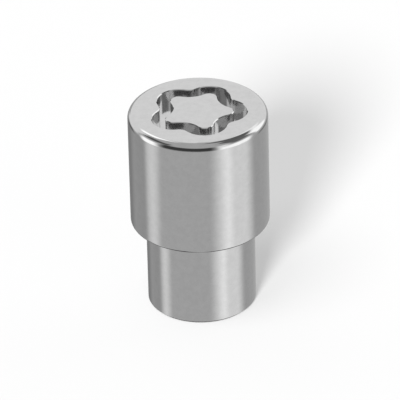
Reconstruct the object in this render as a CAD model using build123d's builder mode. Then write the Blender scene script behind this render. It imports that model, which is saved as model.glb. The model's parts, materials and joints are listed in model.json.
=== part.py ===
from build123d import *
import os
from math import radians, sqrt, tan

# Locking wheel nut: one piece of steel, a wide head on a plain shank, turned
# from round bar, threaded blind from the shank's end for the wheel stud, with
# a wavy groove cut into the top face for its key.
# Millimetres. The nut stands on the shank's end: z = 0 is that end, +Z is up.

# Head and shank
head_diameter = 22.2
head_length = 19.7
shank_diameter = 17.3
shank_length = 14.6

# Edges of the turned outline
rim_round = 1.1
shoulder_edge_round = 0.45
foot_chamfer = 0.35

# Blind stud hole: a lead-in, a wall at the thread's outer diameter, the rest
# of the tapping drill's hole and the cone that the drill's point leaves
thread_diameter = 12.0
thread_depth = 21.5
lead_in_diameter = 13.4
lead_in_angle = 90.0
tapping_drill_diameter = 10.5
tapping_drill_depth = 24.0
drill_point_angle = 118.0

# Key groove: its middle line is a closed wave of lobes joined by valleys, and
# the uneven turns from lobe to lobe make one key unlike another
lobe_angles = (-5, 65, 132, 211, 284)
lobe_centre_radius = 4.4
lobe_radius = 2.4
valley_radius = 2.8
groove_width = 2.1
groove_depth = 1.9
groove_edge_chamfer = 0.12

# Worked out from the sizes above
head_radius = head_diameter / 2
shank_radius = shank_diameter / 2
lead_in_radius = lead_in_diameter / 2
thread_radius = thread_diameter / 2
drill_radius = tapping_drill_diameter / 2
total_length = shank_length + head_length
lead_in_depth = (lead_in_radius - thread_radius) / tan(radians(lead_in_angle / 2))
drill_point_depth = tapping_drill_depth + drill_radius / tan(radians(drill_point_angle / 2))
lobe_centres = [Vector(lobe_centre_radius, 0).rotate(Axis.Z, angle) for angle in lobe_angles]


def valley_centre(lobe, next_lobe):
    """Centre of the arc that touches two neighbouring lobes from outside the wave."""
    across = next_lobe - lobe
    outward = Vector(across.Y, -across.X).normalized()
    reach = sqrt((lobe_radius + valley_radius) ** 2 - (across.length / 2) ** 2)
    return lobe + across / 2 + outward * reach


def wave(shift):
    """The groove's middle line moved outward by shift, as a closed chain of tangent arcs."""
    bulge = lobe_radius + shift
    hollow = valley_radius - shift
    valleys = [
        valley_centre(lobe, lobe_centres[(i + 1) % len(lobe_centres)])
        for i, lobe in enumerate(lobe_centres)
    ]
    for i, lobe in enumerate(lobe_centres):
        next_lobe = lobe_centres[(i + 1) % len(lobe_centres)]
        start = lobe + (valleys[i - 1] - lobe).normalized() * bulge
        top = lobe + lobe.normalized() * bulge
        end = lobe + (valleys[i] - lobe).normalized() * bulge
        dip = valleys[i] + ((lobe + next_lobe) / 2 - valleys[i]).normalized() * hollow
        next_start = next_lobe + (valleys[i] - next_lobe).normalized() * bulge
        ThreePointArc(start, top, end)
        ThreePointArc(end, dip, next_start)


os.makedirs("parts", exist_ok=True)

with BuildPart() as nut_body:
    # Half section, from the axis at the top down the outside and up the hole
    with BuildSketch(Plane.XZ):
        with BuildLine():
            Polyline(
                (0, total_length),
                (head_radius, total_length),
                (head_radius, shank_length),
                (shank_radius, shank_length),
                (shank_radius, 0),
                (lead_in_radius, 0),
                (thread_radius, lead_in_depth),
                (thread_radius, thread_depth),
                (drill_radius, thread_depth),
                (drill_radius, tapping_drill_depth),
                (0, drill_point_depth),
                close=True,
            )
        make_face()
    revolve(axis=Axis.Z)

    # Edges: two at the head's radius, and the lower of two at the shank's
    circles = nut_body.edges().filter_by(GeomType.CIRCLE).group_by(SortBy.RADIUS)
    shoulder_edge, rim = circles[-1].sort_by(Axis.Z)
    foot = circles[-2].sort_by(Axis.Z)[0]
    fillet(rim, radius=rim_round)
    fillet(shoulder_edge, radius=shoulder_edge_round)
    chamfer(foot, length=foot_chamfer)

    # Key groove: between the wave moved outward and inward by half its width
    with BuildSketch(Plane.XY.offset(total_length)):
        with BuildLine():
            wave(groove_width / 2)
        make_face()
        with BuildLine():
            wave(-groove_width / 2)
        make_face(mode=Mode.SUBTRACT)
    extrude(amount=-groove_depth, mode=Mode.SUBTRACT)
    groove_edges = nut_body.edges(Select.LAST).group_by(Axis.Z)[-1]
    chamfer(groove_edges, length=groove_edge_chamfer)

nut_body.part.label = "nut_body"
export_step(nut_body.part, "parts/nut_body.step")
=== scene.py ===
"""Looks of a locking wheel nut: its chrome, the thread in its stud hole, a plain studio and the camera."""
import json
from math import cos, pi, radians, sin
from typing import NamedTuple

import bmesh
import bpy
from mathutils import Matrix, Vector


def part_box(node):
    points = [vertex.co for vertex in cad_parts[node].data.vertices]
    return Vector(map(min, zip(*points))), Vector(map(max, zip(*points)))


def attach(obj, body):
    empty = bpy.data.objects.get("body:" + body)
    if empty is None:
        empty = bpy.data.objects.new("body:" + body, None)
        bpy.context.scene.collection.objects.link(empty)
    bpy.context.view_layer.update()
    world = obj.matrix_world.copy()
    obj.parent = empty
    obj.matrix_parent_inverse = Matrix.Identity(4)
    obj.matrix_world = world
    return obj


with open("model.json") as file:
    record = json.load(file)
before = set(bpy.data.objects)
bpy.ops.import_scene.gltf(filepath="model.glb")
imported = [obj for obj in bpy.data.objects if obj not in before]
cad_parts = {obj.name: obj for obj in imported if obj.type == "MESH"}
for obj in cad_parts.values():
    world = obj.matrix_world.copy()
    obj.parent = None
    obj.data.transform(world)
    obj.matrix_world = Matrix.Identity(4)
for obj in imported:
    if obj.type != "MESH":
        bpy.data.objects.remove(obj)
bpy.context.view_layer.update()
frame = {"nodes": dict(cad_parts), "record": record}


class Grain(NamedTuple):
    """A noise pattern: its scale, its octaves and the strength of the fine ones."""
    scale: float
    detail: float
    rough: float


class Panel(NamedTuple):
    """A soft panel for the chrome to mirror, at angles in degrees.

    Azimuth 0 is the camera's side and 90 the right.
    """
    level: float
    azimuth: float
    half_width: float
    low: float
    high: float
    soft: float


class Lamp(NamedTuple):
    """A soft lamp at angles in degrees, with azimuths as for a panel."""
    azimuth: float
    elevation: float
    spread: float
    strength: float


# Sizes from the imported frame, in metres
NUT_LOW, NUT_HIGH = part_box("nut_body")
HEAD_RADIUS = NUT_HIGH.x
NUT_LENGTH = NUT_HIGH.z - NUT_LOW.z
MM_A_METRE = 1000
STUD_HOLE = next(mount for mount in frame["record"]["mounts"] if mount["name"] == "stud_hole")
HOLE_MIDDLE = STUD_HOLE["pos_m"][2]
HOLE_RADIUS = STUD_HOLE["dims"]["r_mm"] / MM_A_METRE
HOLE_HALF_LENGTH = STUD_HOLE["dims"]["length_mm"] / MM_A_METRE / 2

# Ridge of the stud thread, in metres
THREAD_PITCH = 0.0015
THREAD_CREST_RADIUS = 0.00526
THREAD_CREST_HALF = THREAD_PITCH / 8
THREAD_BASE_HALF = THREAD_PITCH * 7 / 16
THREAD_RUN_IN = THREAD_PITCH / 6
THREAD_RUN_OUT = THREAD_PITCH / 2
THREAD_SINK = 0.00002  # how far the ridge reaches into the steel
THREAD_STEPS_A_TURN = 96
LEAD_IN_RADIUS = 0.0067  # of the cone at the nut's end

# Zones of the finish, in metres
HOLE_EDGE_RADIUS = 0.0064  # the bare steel of the hole lies within this radius
HOLE_TOP = 0.0290  # and below this height
GROOVE_REACH = 0.0085  # the key groove lies within this radius
GROOVE_LOW = 0.0310  # and above this height
MASK_SOFTNESS = 0.0003

# Grey and roughness of the plate, the plate in the groove and the bare steel
PLATE_GREYS = (0.58, 0.62)
PLATE_ROUGHNESS = (0.045, 0.085)
GROOVE_ROUGHNESS = 0.11
STEEL_GREY = 0.42
STEEL_ROUGHNESS = (0.28, 0.42)

# Lay of turning, haze over the plate's gloss and mottle in its grey
LAY = Grain(1.0, 3.0, 0.6)
LAY_DENSITY = 9000.0  # of its lines, to a metre
LAY_STRENGTH = 0.02
LAY_HEIGHT = 0.00002
HAZE = Grain(260.0, 4.0, 0.55)
MOTTLE = Grain(900.0, 4.0, 0.7)
NOISE_RANGE = (0.3, 0.7)  # where nearly all of the noise lies

# Camera: the photograph's frame in pixels, and where and how large it shows the nut
FRAME_PIXELS = 400
PIXELS_A_HEAD_RADIUS = 69.76
NUT_CENTRE_PIXEL = (200.0, 203.4)
CAMERA_ELEVATION = radians(31.235)
CAMERA_ROLL = radians(-1.48)
CAMERA_DISTANCE = 78.14 * HEAD_RADIUS
SENSOR_WIDTH = 36.0

# Studio: what the chrome mirrors, where a later panel lies over an earlier one
ROOM_LEVEL = 0.55
BACKDROP_LEVEL = 1.0
PANELS = {
    "floor_behind": Panel(0.48, 180, 80, -70, -12, 10),
    "floor_left": Panel(0.42, -122, 24, -70, -14, 10),
    "floor_far_left": Panel(0.26, -162, 20, -70, -14, 12),
    "dark_below": Panel(0.1, 180, 148, -100, -55, 6),
    "under_foot": Panel(0.1, 180, 25, -60, -38, 5),
    "sweep_behind": Panel(0.99, 180, 72, -2, 45, 6),
    "sweep_high_left": Panel(1.7, -152, 17, 42, 58, 3),
    "sweep_high_right": Panel(1.3, 147, 25, 38, 47, 3),
    "dark_back_left": Panel(0.42, -162, 12, -2, 11, 4),
    "dark_low_left": Panel(0.16, -133, 11, -25, -6, 5),
    "dark_low_right": Panel(0.22, 129, 17, -27, -17, 4),
    "dark_front": Panel(0.06, -18, 43, -20, 31, 8),
    "dark_high_left": Panel(0.12, -81, 28, 31, 52, 5),
    "dark_high_right": Panel(0.15, 116, 57, 48, 72, 3),
    "dark_mid_right": Panel(0.18, 82, 22, 29, 55, 5),
    "left_strip": Panel(1.6, -84, 15, -27, 14, 7),
    "left_floor": Panel(0.95, -84, 9, -56, -27, 9),
    "right_softbox": Panel(1.5, 61, 28, -26, 15, 7),
    "right_floor": Panel(1.06, 60, 33, -56, -26, 13),
    "right_glow": Panel(1.2, 48, 7, -56, -26, 8),
    "right_edge_strip": Panel(1.1, 41, 9, 4, 35, 7),
    "right_wing": Panel(1.5, 117, 15, 3, 42, 4),
}

# Floor: how far it reaches, its share of the lamps' light, and the glow that only the camera sees
FLOOR_REACH = 100 * NUT_LENGTH
FLOOR_GREY = 0.2
FLOOR_GLOW = 0.415

# Lamps for the shadow on the floor: a low one beside the camera and a high one on the left
LAMPS = {
    "low_key": Lamp(-16.5, 29, 14, 10.8),
    "high_left_key": Lamp(-50, 66, 30, 2.2),
}

# A Mix node's sockets share their names, so they go by number: two inputs and an output for each kind
MIX_FACTOR = 0
MIX_SOCKETS = {"FLOAT": (2, 3, 0), "VECTOR": (4, 5, 1)}


def link(name, data):
    """A new object in the scene."""
    made = bpy.data.objects.new(name, data)
    bpy.context.scene.collection.objects.link(made)
    return made


def direction(azimuth, elevation):
    """Unit vector from the nut towards an azimuth, 0 on the camera's side, and an elevation."""
    return Vector((sin(azimuth) * cos(elevation), -cos(azimuth) * cos(elevation), sin(elevation)))


def node(tree, kind, inputs=(), **settings):
    """A new shader node with its settings, and its inputs by name or number set or linked."""
    made = tree.nodes.new(kind)
    for key, value in settings.items():
        setattr(made, key, value)
    for key, value in dict(inputs).items():
        if isinstance(value, bpy.types.NodeSocket):
            tree.links.new(value, made.inputs[key])
        else:
            made.inputs[key].default_value = value
    return made


def math_node(tree, operation, *values):
    """The result of one Math node."""
    return node(tree, "ShaderNodeMath", enumerate(values), operation=operation).outputs["Value"]


def vector_node(tree, operation, *values):
    """The outputs of one Vector Math node, of which an operation uses Vector or Value."""
    return node(tree, "ShaderNodeVectorMath", enumerate(values), operation=operation).outputs


def ramp(tree, value, low, high, out_low=0.0, out_high=1.0):
    """value from low to high, eased, onto out_low to out_high."""
    settings = {"Value": value, "From Min": low, "From Max": high, "To Min": out_low, "To Max": out_high}
    made = node(tree, "ShaderNodeMapRange", settings, interpolation_type="SMOOTHSTEP")
    return made.outputs["Result"]


def noise(tree, place, grain):
    """Noise from 0 to 1 at a place."""
    settings = {"Vector": place, "Scale": grain.scale, "Detail": grain.detail, "Roughness": grain.rough}
    return node(tree, "ShaderNodeTexNoise", settings).outputs["Fac"]


def mix(tree, factor, first, second, kind="FLOAT"):
    """A number or a vector from first to second by factor."""
    first_socket, second_socket, result = MIX_SOCKETS[kind]
    settings = {MIX_FACTOR: factor, first_socket: first, second_socket: second}
    return node(tree, "ShaderNodeMix", settings, data_type=kind).outputs[result]


def new_material(name):
    """A new material, its node tree and its Principled shader."""
    material = bpy.data.materials.new(name)
    material.use_nodes = True
    return material, material.node_tree, material.node_tree.nodes["Principled BSDF"]


def finish_zones(tree, radius, z):
    """How far, from 0 to 1, a point lies in the stud hole, near the key groove and in it."""
    near_axis = ramp(tree, radius, HOLE_EDGE_RADIUS + MASK_SOFTNESS, HOLE_EDGE_RADIUS - MASK_SOFTNESS)
    below_top = ramp(tree, z, HOLE_TOP + MASK_SOFTNESS, HOLE_TOP - MASK_SOFTNESS)
    within_reach = ramp(tree, radius, GROOVE_REACH + MASK_SOFTNESS, GROOVE_REACH)
    above_hole = ramp(tree, z, GROOVE_LOW, GROOVE_LOW + MASK_SOFTNESS)
    below_face = ramp(tree, z, NUT_HIGH.z, NUT_HIGH.z - MASK_SOFTNESS)
    in_hole = math_node(tree, "MULTIPLY", near_axis, below_top)
    in_key_zone = math_node(tree, "MULTIPLY", within_reach, above_hole)
    in_groove = math_node(tree, "MULTIPLY", in_key_zone, below_face)
    return in_hole, in_key_zone, in_groove


def lay_lines(tree, x, y, z, radius):
    """Fine lines that run round the axis, on the side by height and on the ends by radius."""
    turn = math_node(tree, "ARCTAN2", y, x)
    fine_radius = math_node(tree, "MULTIPLY", radius, LAY_DENSITY)
    fine_height = math_node(tree, "MULTIPLY", z, LAY_DENSITY)
    stretched = node(tree, "ShaderNodeCombineXYZ", {"X": turn, "Y": fine_radius, "Z": fine_height})
    return noise(tree, stretched.outputs["Vector"], LAY)


def turned_normal(tree, flat, in_key_zone):
    """The normal without its part round the axis, which only the key groove's walls have."""
    normal = node(tree, "ShaderNodeNewGeometry").outputs["Normal"]
    around = vector_node(tree, "CROSS_PRODUCT", (0, 0, 1), flat)["Vector"]
    skew = vector_node(tree, "PROJECT", normal, around)["Vector"]
    straight = vector_node(tree, "SUBTRACT", normal, skew)["Vector"]
    return mix(tree, in_key_zone, straight, normal, "VECTOR")


def chrome_material():
    """Bright plate with the lay of turning, duller in the key groove, and bare steel in the stud hole."""
    material, tree, shader = new_material("bright_chrome")
    place = node(tree, "ShaderNodeTexCoord").outputs["Object"]
    x, y, z = node(tree, "ShaderNodeSeparateXYZ", {"Vector": place}).outputs
    flat = node(tree, "ShaderNodeCombineXYZ", {"X": x, "Y": y}).outputs["Vector"]
    radius = vector_node(tree, "LENGTH", flat)["Value"]
    in_hole, in_key_zone, in_groove = finish_zones(tree, radius, z)
    lay = lay_lines(tree, x, y, z, radius)

    plate_grey = ramp(tree, noise(tree, place, MOTTLE), *NOISE_RANGE, *PLATE_GREYS)
    bright_rough = ramp(tree, noise(tree, place, HAZE), *NOISE_RANGE, *PLATE_ROUGHNESS)
    plate_rough = mix(tree, in_groove, bright_rough, GROOVE_ROUGHNESS)
    steel_rough = ramp(tree, lay, *NOISE_RANGE, *STEEL_ROUGHNESS)
    lay_strength = mix(tree, in_groove, LAY_STRENGTH, 0.0)
    normal = turned_normal(tree, flat, in_key_zone)
    relief = {"Strength": lay_strength, "Distance": LAY_HEIGHT, "Height": lay, "Normal": normal}
    bump = node(tree, "ShaderNodeBump", relief).outputs["Normal"]

    tree.links.new(mix(tree, in_hole, plate_grey, STEEL_GREY), shader.inputs["Base Color"])
    tree.links.new(mix(tree, in_hole, plate_rough, steel_rough), shader.inputs["Roughness"])
    tree.links.new(bump, shader.inputs["Normal"])
    shader.inputs["Metallic"].default_value = 1.0
    return material


def floor_material():
    """Matt paper, lifted to white for the camera, which still sees the shadow on it."""
    material, tree, shader = new_material("pale_paper")
    seen = node(tree, "ShaderNodeLightPath").outputs["Is Camera Ray"]
    tree.links.new(math_node(tree, "MULTIPLY", seen, FLOOR_GLOW), shader.inputs["Emission Strength"])
    shader.inputs["Emission Color"].default_value = (1, 1, 1, 1)
    shader.inputs["Base Color"].default_value = (FLOOR_GREY, FLOOR_GREY, FLOOR_GREY, 1)
    shader.inputs["Roughness"].default_value = 1.0
    shader.inputs["Specular IOR Level"].default_value = 0.0
    return material


def thread_ridge():
    """The ridge that the tap leaves: a right-hand helix from the lead-in cone up into the drilled end."""
    first = HOLE_MIDDLE - HOLE_HALF_LENGTH - THREAD_RUN_IN
    last = HOLE_MIDDLE + HOLE_HALF_LENGTH + THREAD_RUN_OUT
    section = (
        (HOLE_RADIUS + THREAD_SINK, -THREAD_BASE_HALF),
        (THREAD_CREST_RADIUS, -THREAD_CREST_HALF),
        (THREAD_CREST_RADIUS, THREAD_CREST_HALF),
        (HOLE_RADIUS + THREAD_SINK, THREAD_BASE_HALF),
    )
    bm = bmesh.new()
    rings = []
    for i in range(round((last - first) / THREAD_PITCH * THREAD_STEPS_A_TURN)):
        turn = 2 * pi * i / THREAD_STEPS_A_TURN
        ring = []
        for radius, rise in section:
            z = max(first + THREAD_PITCH * i / THREAD_STEPS_A_TURN + rise, THREAD_SINK)
            clear = max(radius, LEAD_IN_RADIUS - z + THREAD_SINK)
            ring.append(bm.verts.new((clear * cos(turn), clear * sin(turn), z)))
        rings.append(ring)
    for here, there in zip(rings, rings[1:]):
        for j in range(len(section)):
            k = (j + 1) % len(section)
            bm.faces.new((here[j], here[k], there[k], there[j]))
    bm.faces.new(rings[0][::-1])
    bm.faces.new(rings[-1])
    bmesh.ops.recalc_face_normals(bm, faces=bm.faces)
    mesh = bpy.data.meshes.new("thread_ridge")
    bm.to_mesh(mesh)
    bm.free()
    return link("thread_ridge", mesh)


def make_floor():
    """A wide level sheet under the nut. What the chrome mirrors below it is the studio's."""
    mesh = bpy.data.meshes.new("floor")
    corners = [
        (-FLOOR_REACH, -FLOOR_REACH, 0),
        (FLOOR_REACH, -FLOOR_REACH, 0),
        (FLOOR_REACH, FLOOR_REACH, 0),
        (-FLOOR_REACH, FLOOR_REACH, 0),
    ]
    mesh.from_pydata(corners, [], [(0, 1, 2, 3)])
    mesh.materials.append(floor_material())
    floor = link("floor", mesh)
    floor.visible_glossy = False


def panel_mask(tree, way, rise, panel):
    """1 inside a panel and 0 outside it, eased across its edge."""
    azimuth, half_width, low, high, soft = map(radians, panel[1:])
    ahead = vector_node(tree, "DOT_PRODUCT", way, direction(azimuth, 0))["Value"]
    aside = vector_node(tree, "DOT_PRODUCT", way, direction(azimuth + pi / 2, 0))["Value"]
    swing = math_node(tree, "ABSOLUTE", math_node(tree, "ARCTAN2", aside, ahead))
    width = ramp(tree, swing, half_width + soft, half_width - soft)
    bottom = ramp(tree, rise, low - soft, low + soft)
    top = ramp(tree, rise, high + soft, high - soft)
    return math_node(tree, "MULTIPLY", width, math_node(tree, "MULTIPLY", bottom, top))


def make_studio():
    """The world: the panels for the chrome and the floor's light, and an even backdrop for the camera."""
    world = bpy.data.worlds.new("studio")
    bpy.context.scene.world = world
    world.use_nodes = True
    tree = world.node_tree
    way = node(tree, "ShaderNodeTexCoord").outputs["Generated"]
    height = node(tree, "ShaderNodeSeparateXYZ", {"Vector": way}).outputs["Z"]
    rise = math_node(tree, "ARCSINE", height)
    light = ROOM_LEVEL
    for panel in PANELS.values():
        light = mix(tree, panel_mask(tree, way, rise, panel), light, panel.level)
    seen = node(tree, "ShaderNodeLightPath").outputs["Is Camera Ray"]
    tree.links.new(mix(tree, seen, light, BACKDROP_LEVEL), tree.nodes["Background"].inputs["Color"])


def make_lamps():
    """The soft lamps that throw the shadow on the floor."""
    for name, lamp in LAMPS.items():
        data = bpy.data.lights.new(name, "SUN")
        data.angle = radians(lamp.spread)
        data.energy = lamp.strength
        made = link(name, data)
        towards = direction(radians(lamp.azimuth), radians(lamp.elevation))
        made.rotation_euler = towards.to_track_quat("Z", "Y").to_euler()
        made.visible_glossy = False


def make_camera():
    """The photograph's viewpoint."""
    data = bpy.data.cameras.new("camera")
    data.sensor_width = SENSOR_WIDTH
    focal_pixels = PIXELS_A_HEAD_RADIUS * CAMERA_DISTANCE / HEAD_RADIUS
    data.lens = SENSOR_WIDTH * focal_pixels / FRAME_PIXELS
    data.shift_x = (FRAME_PIXELS / 2 - NUT_CENTRE_PIXEL[0]) / FRAME_PIXELS
    data.shift_y = (NUT_CENTRE_PIXEL[1] - FRAME_PIXELS / 2) / FRAME_PIXELS
    camera = link("camera", data)
    back = direction(0, CAMERA_ELEVATION)
    camera.location = (NUT_LOW + NUT_HIGH) / 2 + back * CAMERA_DISTANCE
    look = back.to_track_quat("Z", "Y").to_matrix()
    camera.rotation_euler = (look @ Matrix.Rotation(CAMERA_ROLL, 3, "Z")).to_euler()
    bpy.context.scene.camera = camera


chrome = chrome_material()
nut = frame["nodes"]["nut_body"]
nut.data.materials.clear()
nut.data.materials.append(chrome)

ridge = thread_ridge()
ridge.data.materials.append(chrome)
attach(ridge, "root")

make_floor()
make_studio()
make_lamps()
make_camera()
bpy.context.scene.view_settings.view_transform = "Standard"
